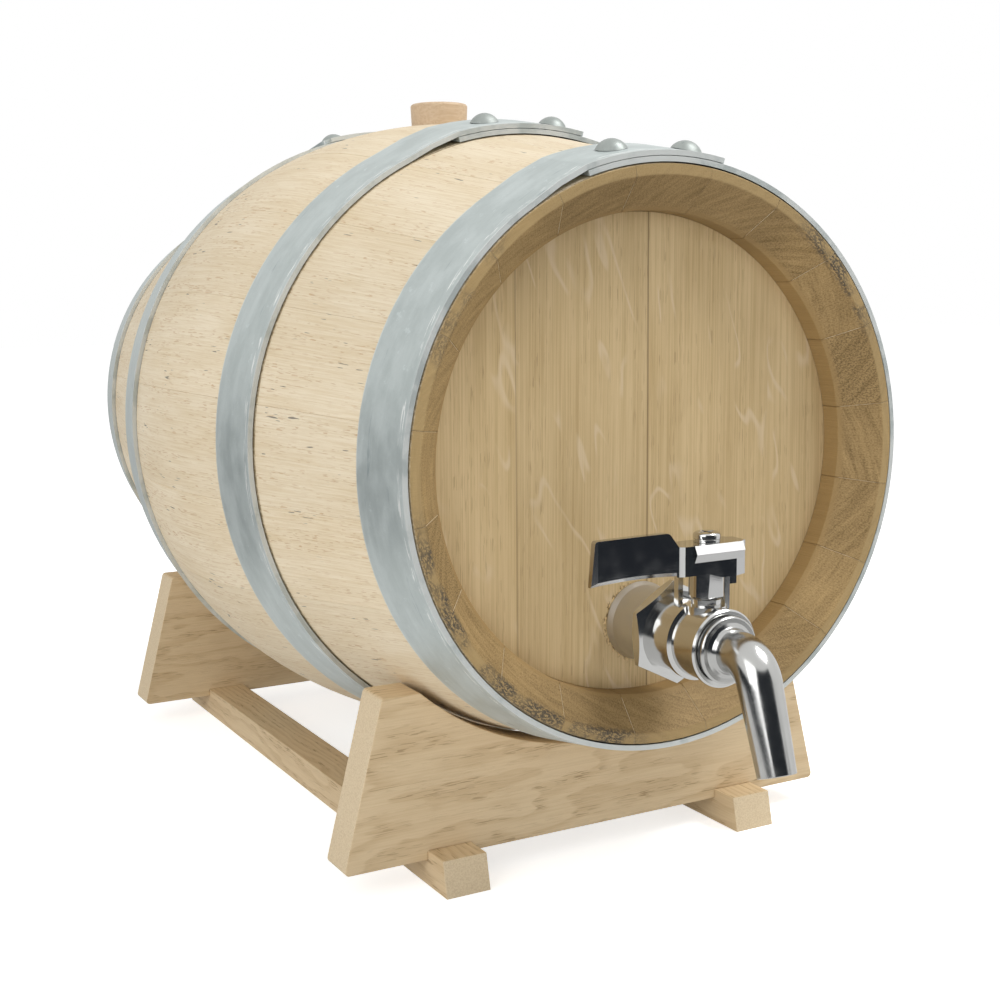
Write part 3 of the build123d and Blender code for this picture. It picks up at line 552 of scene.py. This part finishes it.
# Radii in mm that turn an angle into a length round the cask.
stave_radius, strap_radius, chime_radius = 98.0, 95.0, 76.0
round_cask = maths(tree, "MULTIPLY", spots["Around"], stave_radius)
in_stave = combine(
    tree,
    maths(tree, "MULTIPLY_ADD", chance[1], 300.0, round_cask),
    maths(tree, "MULTIPLY", spots["Depth"], 0.15),
    maths(tree, "MULTIPLY_ADD", chance[2], 900.0, spots["Along"]),
)
marks = use_group(tree, oak_grain, Vector=in_stave, Line_Width=0.42, Line_Length=22.0, Pore_Width=0.30,
                  Pore_Length=4.0, Pore_Limit=0.65)
tone = maths(tree, "ADD", maths(tree, "MULTIPLY", marks["Lines"], 0.60),
             maths(tree, "MULTIPLY_ADD", marks["Clouds"], 1.5, -0.60), clamp=True)
outside = mix(tree, tone, PALE, TAN)
outside = mix(tree, maths(tree, "MULTIPLY", marks["Pores"], 0.55), outside, BROWN)
stain_noise = noise(tree, scaled(tree, in_stave, (0.5, 0.5, 5.5)), detail=0.0)
stain_place = ramp(tree, noise(tree, scaled(tree, in_stave, (7, 7, 18)), detail=1.0), 0.58, 0.66)
stains = maths(tree, "MULTIPLY", ramp(tree, stain_noise, 0.74, 0.78), stain_place)
outside = mix(tree, maths(tree, "MULTIPLY", stains, 0.8), outside, BLACK)
own_tone = maths(tree, "MULTIPLY_ADD", chance[2], 0.07, 0.965)
outside = mix(tree, 1.0, outside, combine(tree, own_tone, own_tone, own_tone), "MULTIPLY")

# %% Oak of the staves: the line beside each hoop
hoop_names = ("front_head_hoop", "front_bilge_hoop", "back_bilge_hoop", "back_head_hoop")
# A dark line at both edges of every hoop: partly a stain, partly a painted shadow of the gap between hoop
# and staves.
gap_shadow_and_stain = None
for name in hoop_names:
    low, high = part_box(name)
    for edge in (low[1], high[1]):
        away = maths(tree, "ABSOLUTE", maths(tree, "SUBTRACT", spots["Along"], (edge - cask_middle) / MM))
        line = ramp(tree, away, 0.85, 0.25)
        gap_shadow_and_stain = line if gap_shadow_and_stain is None else maths(tree, "MAXIMUM", gap_shadow_and_stain, line)
broken = ramp(tree, noise(tree, scaled(tree, in_stave, (1.2, 1.2, 1.2)), detail=2.0), 0.30, 0.62, 0.35, 0.8)
outside = mix(tree, maths(tree, "MULTIPLY", gap_shadow_and_stain, broken), outside, (0.23, 0.16, 0.07, 1))

# %% [markdown]
# At the chime the staves' ends are cut on a slant. There the open pores drink light and the same oak
# looks golden brown, crossed by the fine lines of the rays and of the tool. The narrow flat rim outside
# is rough, and keeps the black smudges of the hammer that drove the hoops on. Painted shade darkens the
# end grain at the top, where the chime faces down, and less at the bottom. Inside, a band turns orange
# where the croze was cut.

# %% Oak of the staves: end grain
def angle_window(tree, angle, start, end, soft=0.12):
    """1 where the angle round the cask lies between two angles, in degrees from the top towards +X."""
    return maths(tree, "MULTIPLY", ramp(tree, angle, radians(start) - soft, radians(start) + soft),
                 ramp(tree, angle, radians(end) + soft, radians(end) - soft))


# Distances from the cask's axis and from the stave's end, in mm.
croze_radius, rim_radius, chime_depth = 71.4, 79.6, 17.0
round_chime = maths(tree, "MULTIPLY", spots["Around"], chime_radius)
across_end = combine(tree, maths(tree, "MULTIPLY_ADD", chance[1], 90.0, round_chime), spots["Out"], 0.0)
dots = noise(tree, scaled(tree, across_end, (0.42, 0.42, 1.0)), detail=2.0, roughness=0.7)
ray_lines = noise(tree, scaled(tree, across_end, (0.34, 5.0, 1.0)), detail=2.0)
turned = add_node(tree, "ShaderNodeVectorRotate", rotation_type="Z_AXIS")
feed(tree, turned.inputs["Vector"], across_end)
feed(tree, turned.inputs["Angle"], maths(tree, "MULTIPLY_ADD", chance[2], 1.6, -0.8))
tool_lines = noise(tree, scaled(tree, turned.outputs[0], (7.0, 0.40, 1.0)), detail=2.0)
rings = noise(tree, scaled(tree, turned.outputs[0], (14.0, 1.5, 1.0)), detail=2.0)
end_tone = maths(tree, "MULTIPLY", ramp(tree, dots, 0.38, 0.66), 0.40)
for texture, share in ((ray_lines, 0.5), (tool_lines, 0.55), (rings, 0.95)):
    swing = maths(tree, "MULTIPLY", maths(tree, "SUBTRACT", texture, 0.5), share)
    end_tone = maths(tree, "ADD", end_tone, swing)
end_tone = maths(tree, "ADD", end_tone, maths(tree, "MULTIPLY_ADD", chance[0], 0.22, 0.16), clamp=True)
end_wood = mix(tree, end_tone, (0.46, 0.315, 0.140, 1), (0.165, 0.103, 0.036, 1))
coarse = maths(tree, "MULTIPLY", ramp(tree, chance[2], 0.86, 0.90), ramp(tree, dots, 0.50, 0.58))
end_wood = mix(tree, maths(tree, "MULTIPLY", coarse, 0.4), end_wood, (0.11, 0.075, 0.035, 1))
croze = ramp(tree, spots["Out"], croze_radius, croze_radius - 1.2)
end_wood = mix(tree, maths(tree, "MULTIPLY", croze, 0.75), end_wood, (0.36, 0.235, 0.095, 1))

to_joint = maths(tree, "SUBTRACT", stave_width / 2, maths(tree, "ABSOLUTE", spots["Across Stave"]))
end_wood = mix(tree, ramp(tree, to_joint, 0.70, 0.25, 0.0, 0.22), end_wood, (0.13, 0.08, 0.03, 1))
# Painted shade on the end grain: darker at the top, where the chime faces down, and a little darker at the
# bottom.
top_shade_window = angle_window(tree, spots["Around"], -30, 34)
bottom_shade_window = ramp(tree, maths(tree, "ABSOLUTE", spots["Around"]), 2.35, 2.75)
painted_shade_at_top = maths(tree, "MULTIPLY", top_shade_window, 0.30)
painted_end_shade = maths(tree, "ADD", painted_shade_at_top, maths(tree, "MULTIPLY", bottom_shade_window, 0.16))
end_wood = mix(tree, painted_end_shade, end_wood, (0.10, 0.062, 0.025, 1))

from_end = maths(tree, "SUBTRACT", half_length / MM, maths(tree, "ABSOLUTE", spots["Along"]))
rim = ramp(tree, spots["Out"], rim_radius - 1.0, rim_radius)
rim_share = maths(tree, "MULTIPLY", rim, ramp(tree, dots, 0.35, 0.6, 0.25, 0.75))
end_wood = mix(tree, rim_share, end_wood, (0.43, 0.305, 0.14, 1))
low_left = angle_window(tree, spots["Around"], -172, -100)
high_right = angle_window(tree, spots["Around"], 36, 62)
high_left = maths(tree, "MULTIPLY", angle_window(tree, spots["Around"], -70, -40), 0.6)
smudged = maths(tree, "MAXIMUM", maths(tree, "MAXIMUM", low_left, high_right), high_left)
patch = ramp(tree, noise(tree, scaled(tree, across_end, (11, 11, 1)), detail=2.0), 0.40, 0.56)
speck_noise = noise(tree, scaled(tree, across_end, (1.1, 0.6, 1)), detail=3.0, roughness=0.75)
speck = ramp(tree, speck_noise, 0.42, 0.54)
wide_rim = ramp(tree, spots["Out"], rim_radius - 2.2, rim_radius - 0.8)
smudge = maths(tree, "MULTIPLY", wide_rim, smudged)
smudge = maths(tree, "MULTIPLY", smudge, maths(tree, "MULTIPLY", patch, speck))
end_wood = mix(tree, maths(tree, "MULTIPLY", smudge, 0.85), end_wood, (0.050, 0.048, 0.045, 1))

# %% Oak of the staves: both together
cut_end = ramp(tree, sheer_facing(tree, 1), 0.35, 0.55)
beyond_head = ramp(tree, from_end, chime_depth, chime_depth - 1.0)
inside_chime = maths(tree, "MULTIPLY", beyond_head, ramp(tree, spots["Out"], 71.0, 70.3))
wood = mix(tree, maths(tree, "MAXIMUM", cut_end, inside_chime), outside, end_wood)
feed(tree, shader.inputs["Base Color"], wood)
shader.inputs["Roughness"].default_value = 0.62
shader.inputs["Specular IOR Level"].default_value = 0.3
end_relief = maths(tree, "MULTIPLY", maths(tree, "ADD", dots, ray_lines), -1.0)
relief = add_node(tree, "ShaderNodeMix")
for socket, value in zip(relief.inputs[:1] + relief.inputs[2:4], (cut_end, marks["Height"], end_relief)):
    feed(tree, socket, value)
bump(tree, shader, relief.outputs[0], 0.12 * MM, 0.6)
paint(stave_oak, *[name for name in nodes if "stave" in name])

# %% [markdown]
# The heads are four boards each, with the grain standing upright. They are quarter sawn, so the cut runs
# along the rays, and those show as silky pale flecks that wander across the fine stripes. Of the joints,
# the middle one is dark, the left one fainter and the right one hardly to be seen.

# %% Oak of the heads
head_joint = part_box("front_head_board_2")[1][0] / MM
head_board_width = (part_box("front_head_board_2")[1][0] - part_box("front_head_board_2")[0][0]) / MM

head_oak, tree, shader = new_finish("head_oak")
spots = use_group(tree, cask_places, Vector=object_places(tree))
x, y, z = split(tree, object_mm(tree))
boards_from_joint = maths(tree, "DIVIDE", maths(tree, "SUBTRACT", x, head_joint), head_board_width)
board = maths(tree, "FLOOR", boards_from_joint)
which_head = maths(tree, "SIGN", spots["Along"])
chance = random_numbers(tree, maths(tree, "MULTIPLY_ADD", which_head, 7.0, maths(tree, "ADD", board, 31.0)))
slant = maths(tree, "MULTIPLY_ADD", chance[0], 0.04, -0.02)
in_board = combine(
    tree,
    maths(tree, "ADD", maths(tree, "MULTIPLY_ADD", z, slant, x), maths(tree, "MULTIPLY", chance[1], 400.0)),
    y,
    maths(tree, "MULTIPLY_ADD", chance[2], 700.0, z),
)
marks = use_group(tree, oak_grain, Vector=in_board, Line_Width=0.50, Line_Length=60.0, Pore_Width=0.30,
                  Pore_Length=6.0, Pore_Limit=0.64)
tone = maths(tree, "ADD", maths(tree, "MULTIPLY", marks["Lines"], 0.50),
             maths(tree, "MULTIPLY_ADD", marks["Clouds"], 1.2, -0.45), clamp=True)
wood = mix(tree, tone, (0.665, 0.505, 0.28, 1), (0.46, 0.325, 0.15, 1))
wood = mix(tree, maths(tree, "MULTIPLY", marks["Pores"], 0.30), wood, (0.235, 0.145, 0.060, 1))
fleck_place = combine(tree, maths(tree, "MULTIPLY_ADD", z, 0.32, split(tree, in_board)[0]), y, z)
fleck_noise = noise(tree, scaled(tree, fleck_place, (10, 10, 34)), detail=1.0, roughness=0.4)
fleck_line = ramp(tree, maths(tree, "ABSOLUTE", maths(tree, "SUBTRACT", fleck_noise, 0.5)), 0.030, 0.004)
fleck_part = ramp(tree, noise(tree, scaled(tree, fleck_place, (13, 13, 21)), detail=1.0), 0.46, 0.58)
flecks = maths(tree, "MULTIPLY", fleck_line, fleck_part)
wood = mix(tree, maths(tree, "MULTIPLY", flecks, 0.6), wood, (0.70, 0.56, 0.37, 1))
own_tone = maths(tree, "MULTIPLY_ADD", chance[1], 0.10, 0.95)
wood = mix(tree, 1.0, wood, combine(tree, own_tone, own_tone, own_tone), "MULTIPLY")
across_board = maths(tree, "FRACT", boards_from_joint)
to_joint = maths(tree, "SUBTRACT", 0.5, maths(tree, "ABSOLUTE", maths(tree, "SUBTRACT", across_board, 0.5)))
joint = ramp(tree, maths(tree, "MULTIPLY", to_joint, head_board_width), 0.40, 0.12)
left_of_middle = ramp(tree, x, -30.0, -10.0, 0.5, 1.0)
right_of_middle = ramp(tree, x, 30.0, 15.0, 0.12, 1.0)
joint = maths(tree, "MULTIPLY", joint, maths(tree, "MULTIPLY", left_of_middle, right_of_middle))
wood = mix(tree, maths(tree, "MULTIPLY", joint, 0.62), wood, (0.16, 0.10, 0.045, 1))

# %% Oak of the front head: torn fibres left of the tap
shank_low, shank_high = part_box("tap_shank")
tap_height = (shank_low[2] + shank_high[2]) / 2 / MM
around_tap = combine(tree, x, 0.0, maths(tree, "SUBTRACT", z, tap_height))
tap_distance = vector_maths(tree, "LENGTH", around_tap)
wobble = noise(tree, scaled(tree, around_tap, (1.3, 1.3, 3.0)), detail=3.0, roughness=0.7)
torn_reach = maths(tree, "MULTIPLY_ADD", wobble, 9.0, 7.4)
torn = maths(tree, "MULTIPLY", ramp(tree, maths(tree, "SUBTRACT", tap_distance, torn_reach), 0.8, -0.4),
             ramp(tree, maths(tree, "ADD", x, maths(tree, "MULTIPLY", which_head, 30.0)), -31.0, -36.0))
fibre = ramp(tree, noise(tree, scaled(tree, around_tap, (0.45, 0.45, 1.1)), detail=2.0), 0.40, 0.60)
wood = mix(tree, torn, wood, mix(tree, fibre, (0.20, 0.125, 0.05, 1), (0.72, 0.53, 0.27, 1)))
feed(tree, shader.inputs["Base Color"], wood)
shader.inputs["Roughness"].default_value = 0.58
shader.inputs["Specular IOR Level"].default_value = 0.3
bump(tree, shader, marks["Height"], 0.10 * MM, 0.5)
paint(head_oak, *[name for name in nodes if "_head_board_" in name])

# %% [markdown]
# The cradle is flat sawn, so the year rings run out of the face in long wavy arches. The rings are
# distances from a pith that runs lengthways some way off the board, pushed about by slow noise.

# %% Oak of the cradle
pith_height = 32.0  # mm above the floor


def cradle_finish(name, grain_axis, pith_distance, tree_tilt, seed, ring_width=2.3):
    """Flat-sawn oak with its grain along X (0) or Y (1)."""
    material, tree, shader = new_finish(name)
    x, y, z = split(tree, object_mm(tree))
    lengthways, facing = (x, y) if grain_axis == 0 else (y, x)
    in_plank = combine(tree, facing, z, maths(tree, "ADD", lengthways, seed))
    push = noise(tree, scaled(tree, in_plank, (16, 16, 60)), detail=3.0, output="Color")
    push = vector_maths(tree, "SUBTRACT", push, (0.5, 0.5, 0.5))
    push = vector_maths(tree, "MULTIPLY", push, (13, 13, 0))
    from_pith = maths(tree, "ADD", facing, pith_distance)
    out_of_face = maths(tree, "MULTIPLY_ADD", lengthways, tree_tilt, from_pith)
    above_pith = maths(tree, "ADD", z, -pith_height)
    to_pith = vector_maths(tree, "ADD", combine(tree, out_of_face, above_pith, 0.0), push)
    px, py, _ = split(tree, to_pith)
    ring = maths(tree, "DIVIDE", vector_maths(tree, "LENGTH", combine(tree, px, py, 0.0)), ring_width)
    phase = maths(tree, "FRACT", ring)
    early = maths(tree, "MULTIPLY", ramp(tree, phase, 0.0, 0.15), ramp(tree, phase, 0.75, 0.2))
    marks = use_group(tree, oak_grain, Vector=in_plank, Line_Width=0.5, Line_Length=30.0, Pore_Width=0.34,
                      Pore_Length=5.0, Pore_Limit=0.60)
    line_tone = maths(tree, "MULTIPLY", marks["Lines"], 0.26)
    tone = maths(tree, "ADD", maths(tree, "MULTIPLY", early, 0.38), line_tone)
    tone = maths(tree, "ADD", tone, maths(tree, "MULTIPLY_ADD", marks["Clouds"], 0.7, -0.28), clamp=True)
    wood = mix(tree, tone, (0.76, 0.60, 0.385, 1), (0.58, 0.42, 0.235, 1))
    dashes = maths(tree, "MULTIPLY", marks["Pores"], maths(tree, "MULTIPLY_ADD", early, 0.5, 0.1))
    wood = mix(tree, dashes, wood, (0.27, 0.165, 0.075, 1))
    end_share = ramp(tree, sheer_facing(tree, grain_axis), 0.5, 0.8)
    grit = noise(tree, scaled(tree, in_plank, (0.5, 0.5, 0.5)), detail=2.0, roughness=0.7)
    end_wood = mix(tree, ramp(tree, grit, 0.35, 0.68), (0.76, 0.625, 0.43, 1), (0.66, 0.52, 0.335, 1))
    wood = mix(tree, end_share, wood, end_wood)
    feed(tree, shader.inputs["Base Color"], wood)
    shader.inputs["Roughness"].default_value = 0.62
    shader.inputs["Specular IOR Level"].default_value = 0.3
    bump(tree, shader, marks["Height"], 0.1 * MM, 0.5)
    return material


paint(cradle_finish("cradle_oak_front", 0, 165.0, 0.05, 40.0), "front_cradle_board")
paint(cradle_finish("cradle_oak_back", 0, -70.0, -0.04, 400.0), "back_cradle_board")
paint(cradle_finish("cradle_oak_left_rail", 1, 115.0, 0.02, 820.0), "left_rail")
paint(cradle_finish("cradle_oak_right_rail", 1, 60.0, -0.02, 1300.0), "right_rail")

# %% [markdown]
# The bung is turned from a lighter, pinker wood, with its grain across the hole so that it swells tight.

# %% Bung
bung = soften(copy_of("bung", "bung_finished"), 0.3 * MM)
pieces["bung"] = stand_for(bung, "bung")
bung_wood, tree, shader = new_finish("bung_wood")
x, y, z = split(tree, object_mm(tree))
in_bung = combine(tree, y, z, x)
marks = use_group(tree, oak_grain, Vector=in_bung, Line_Width=0.9, Line_Length=22.0, Pore_Width=0.3,
                  Pore_Length=2.5, Pore_Limit=0.66)
cloud_tone = maths(tree, "MULTIPLY", marks["Clouds"], 0.3)
tone = maths(tree, "ADD", maths(tree, "MULTIPLY", marks["Lines"], 0.6), cloud_tone)
wood = mix(tree, tone, (0.70, 0.545, 0.375, 1), (0.58, 0.415, 0.265, 1))
wood = mix(tree, maths(tree, "MULTIPLY", marks["Pores"], 0.3), wood, (0.36, 0.22, 0.12, 1))
feed(tree, shader.inputs["Base Color"], wood)
shader.inputs["Roughness"].default_value = 0.55
bump(tree, shader, marks["Height"], 0.06 * MM, 0.4)
paint(bung_wood, "bung", "head_dowels")

# %% [markdown]
# ## Metal
# The hoops are galvanised: dipped in zinc, then dull and blue-grey, with cloudy patches, drawn-out smears
# along the strap, bright worn edges and a few bright dashes beside the front edge.

# %% Zinc of the hoops
zinc, given, result = new_group(
    "zinc_coat",
    [("Vector", VECTOR, None), ("Edge Distance", NUMBER, 5.0), ("Front Distance", NUMBER, 9.0)],
    [("Color", COLOUR), ("Roughness", NUMBER), ("Height", NUMBER)],
)
cloud = noise(zinc, scaled(zinc, given["Vector"], (13, 8, 13)), detail=4.0, roughness=0.6)
smear = noise(zinc, scaled(zinc, given["Vector"], (26, 2.6, 26)), detail=3.0, roughness=0.6)
speckle = noise(zinc, scaled(zinc, given["Vector"], (0.8, 0.8, 0.8)), detail=2.0)
tone = maths(zinc, "MULTIPLY", ramp(zinc, cloud, 0.34, 0.66), 0.70)
tone = maths(zinc, "ADD", tone, maths(zinc, "MULTIPLY", ramp(zinc, smear, 0.38, 0.64), 0.22))
tone = maths(zinc, "ADD", tone, maths(zinc, "MULTIPLY", ramp(zinc, speckle, 0.30, 0.70), 0.10))
coat = mix(zinc, tone, (0.44, 0.49, 0.48, 1), (0.56, 0.61, 0.60, 1))
wisp = maths(zinc, "MULTIPLY", ramp(zinc, smear, 0.62, 0.72), ramp(zinc, cloud, 0.56, 0.42))
coat = mix(zinc, maths(zinc, "MULTIPLY", wisp, 0.55), coat, (0.24, 0.30, 0.32, 1))
splash = noise(zinc, scaled(zinc, given["Vector"], (5, 5, 5)), detail=4.0, roughness=0.7)
coat = mix(zinc, ramp(zinc, splash, 0.62, 0.70, 0.0, 0.35), coat, (0.70, 0.76, 0.76, 1))
dash = noise(zinc, scaled(zinc, given["Vector"], (7, 0.45, 7)), detail=1.0)
past_edge = ramp(zinc, given["Front Distance"], 0.9, 1.4)
near_edge = maths(zinc, "MULTIPLY", ramp(zinc, given["Front Distance"], 3.0, 2.4), past_edge)
near_edge = maths(zinc, "MULTIPLY", near_edge, ramp(zinc, cloud, 0.42, 0.52))
dashes = maths(zinc, "MULTIPLY", ramp(zinc, dash, 0.54, 0.60), near_edge)
coat = mix(zinc, dashes, coat, (0.80, 0.82, 0.80, 1))
at_edge = ramp(zinc, given["Edge Distance"], 0.6, 0.15)
worn = maths(zinc, "MULTIPLY", at_edge, ramp(zinc, cloud, 0.38, 0.55, 0.2, 0.8))
coat = mix(zinc, worn, coat, (0.70, 0.72, 0.70, 1))
feed(zinc, result["Color"], coat)
feed(zinc, result["Roughness"], ramp(zinc, cloud, 0.3, 0.7, 0.42, 0.56))
feed(zinc, result["Height"], maths(zinc, "ADD", smear, maths(zinc, "MULTIPLY", speckle, 0.4)))


def hoop_finish(name, middle, width):
    """Zinc for the hoop whose middle lies that far behind the cask's own."""
    material, tree, shader = new_finish(name)
    spots = use_group(tree, cask_places, Vector=object_places(tree))
    from_middle = maths(tree, "ABSOLUTE", maths(tree, "SUBTRACT", spots["Along"], middle))
    edge_distance = maths(tree, "SUBTRACT", width / 2, from_middle)
    around = maths(tree, "MULTIPLY", spots["Around"], strap_radius)
    round_strap = combine(tree, around, spots["Along"], spots["Out"])
    front_distance = maths(tree, "ADD", maths(tree, "SUBTRACT", spots["Along"], middle), width / 2)
    coat = use_group(tree, zinc, Vector=round_strap, Edge_Distance=edge_distance,
                     Front_Distance=front_distance)
    feed(tree, shader.inputs["Base Color"], coat["Color"])
    feed(tree, shader.inputs["Roughness"], coat["Roughness"])
    shader.inputs["Metallic"].default_value = 0.45
    bump(tree, shader, coat["Height"], 0.05 * MM, 0.5)
    return material


for name in hoop_names:
    low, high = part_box(name)
    middle = ((low[1] + high[1]) / 2 - cask_middle) / MM
    width = (high[1] - low[1]) / MM
    paint(hoop_finish(f"{name}_zinc", middle, width), name)

rivet_zinc, tree, shader = new_finish("rivet_zinc")
coat = use_group(tree, zinc, Vector=object_mm(tree))
feed(tree, shader.inputs["Base Color"], mix(tree, 1.0, coat["Color"], (0.70, 0.69, 0.67, 1), "MULTIPLY"))
feed(tree, shader.inputs["Roughness"], coat["Roughness"])
shader.inputs["Metallic"].default_value = 0.45
bump(tree, shader, coat["Height"], 0.05 * MM, 0.5)
paint(rivet_zinc, "hoop_rivets", "cradle_screws")

# %% [markdown]
# The tap is polished stainless steel. A mirror has no colour of its own, so the finish is nearly white
# metal with the faintest of scratches, and the studio does the rest. Only the lever's faces that tilt up,
# or left on the blade, and face the front carry a painted highlight.

# %% Polished steel of the tap
blade_start = -8.5  # mm along X, where the lever's blade leaves its hub


def steel_finish(name, tint, roughness, scratch_direction, depth, painted_edge_highlights=False):
    """Polished steel with hairline scratches along one axis: X (0), Y (1) or Z (2).

    Painted edge highlights make what tilts up or to the left, and faces the front, duller and brighter: a
    painted highlight in the colour, standing in for the glints that the bevels catch.
    """
    material, tree, shader = new_finish(name)
    places = object_mm(tree)
    cell = [0.25, 0.25, 0.25]
    cell[scratch_direction] = 9.0
    hairlines = noise(tree, scaled(tree, places, tuple(cell)), detail=2.0)
    breath = noise(tree, scaled(tree, places, (5, 5, 5)), detail=3.0)
    colour = mix(tree, breath, tint, (*[c * 0.93 for c in tint[:3]], 1))
    gloss = ramp(tree, breath, 0.35, 0.7, roughness, roughness + 0.06)
    if painted_edge_highlights:
        nx, ny, nz = split(tree, add_node(tree, "ShaderNodeTexCoord").outputs["Normal"])
        on_blade = ramp(tree, split(tree, places)[0], blade_start, blade_start - 1.0)
        leftwards = maths(tree, "MULTIPLY", ramp(tree, nx, -0.25, -0.45), on_blade)
        tilt = maths(tree, "MAXIMUM", ramp(tree, nz, 0.25, 0.45), leftwards)
        # Painted highlight: faces that tilt up, or left on the blade, and face the front get a lighter,
        # duller colour, standing in for the glints of the lever's bevels.
        edge = maths(tree, "MULTIPLY", tilt, ramp(tree, ny, -0.20, -0.40))
        colour = mix(tree, edge, colour, (0.92, 0.92, 0.91, 1))
        gloss = maths(tree, "MAXIMUM", gloss, maths(tree, "MULTIPLY", edge, 0.6))
    feed(tree, shader.inputs["Base Color"], colour)
    feed(tree, shader.inputs["Roughness"], gloss)
    shader.inputs["Metallic"].default_value = 1.0
    bump(tree, shader, hairlines, depth)
    return material


tap_steel = steel_finish("tap_steel", (0.66, 0.66, 0.65, 1), 0.13, 1, 0.004 * MM)
paint(tap_steel, "tap_end_cap", "tap_body", "lever_screw", "lever_lock_washer", "valve_stem", "valve_ball")
paint(steel_finish("collar_steel", (0.62, 0.62, 0.62, 1), 0.40, 1, 0.004 * MM), "tap_shank")
lever_steel = steel_finish("lever_steel", (0.57, 0.57, 0.57, 1), 0.06, 0, 0.004 * MM, painted_edge_highlights=True)
paint(lever_steel, "tap_lever")
paint(steel_finish("spout_steel", (0.56, 0.56, 0.55, 1), 0.16, 2, 0.008 * MM), "spout")

# %% Seals
def moulded_finish(name, colour, roughness):
    material, tree, shader = new_finish(name)
    places = object_mm(tree)
    mottle = noise(tree, scaled(tree, places, (1.2, 1.2, 1.2)), detail=2.0)
    feed(tree, shader.inputs["Base Color"], mix(tree, mottle, colour, (*[c * 0.85 for c in colour[:3]], 1)))
    shader.inputs["Roughness"].default_value = roughness
    bump(tree, shader, mottle, 0.02 * MM)
    return material


white_seal = moulded_finish("white_seal", (0.85, 0.85, 0.82, 1), 0.45)
paint(white_seal, "rear_ball_seat", "front_ball_seat", "stem_packing")
paint(moulded_finish("black_rubber", (0.025, 0.025, 0.025, 1), 0.55), "spout_o_ring")
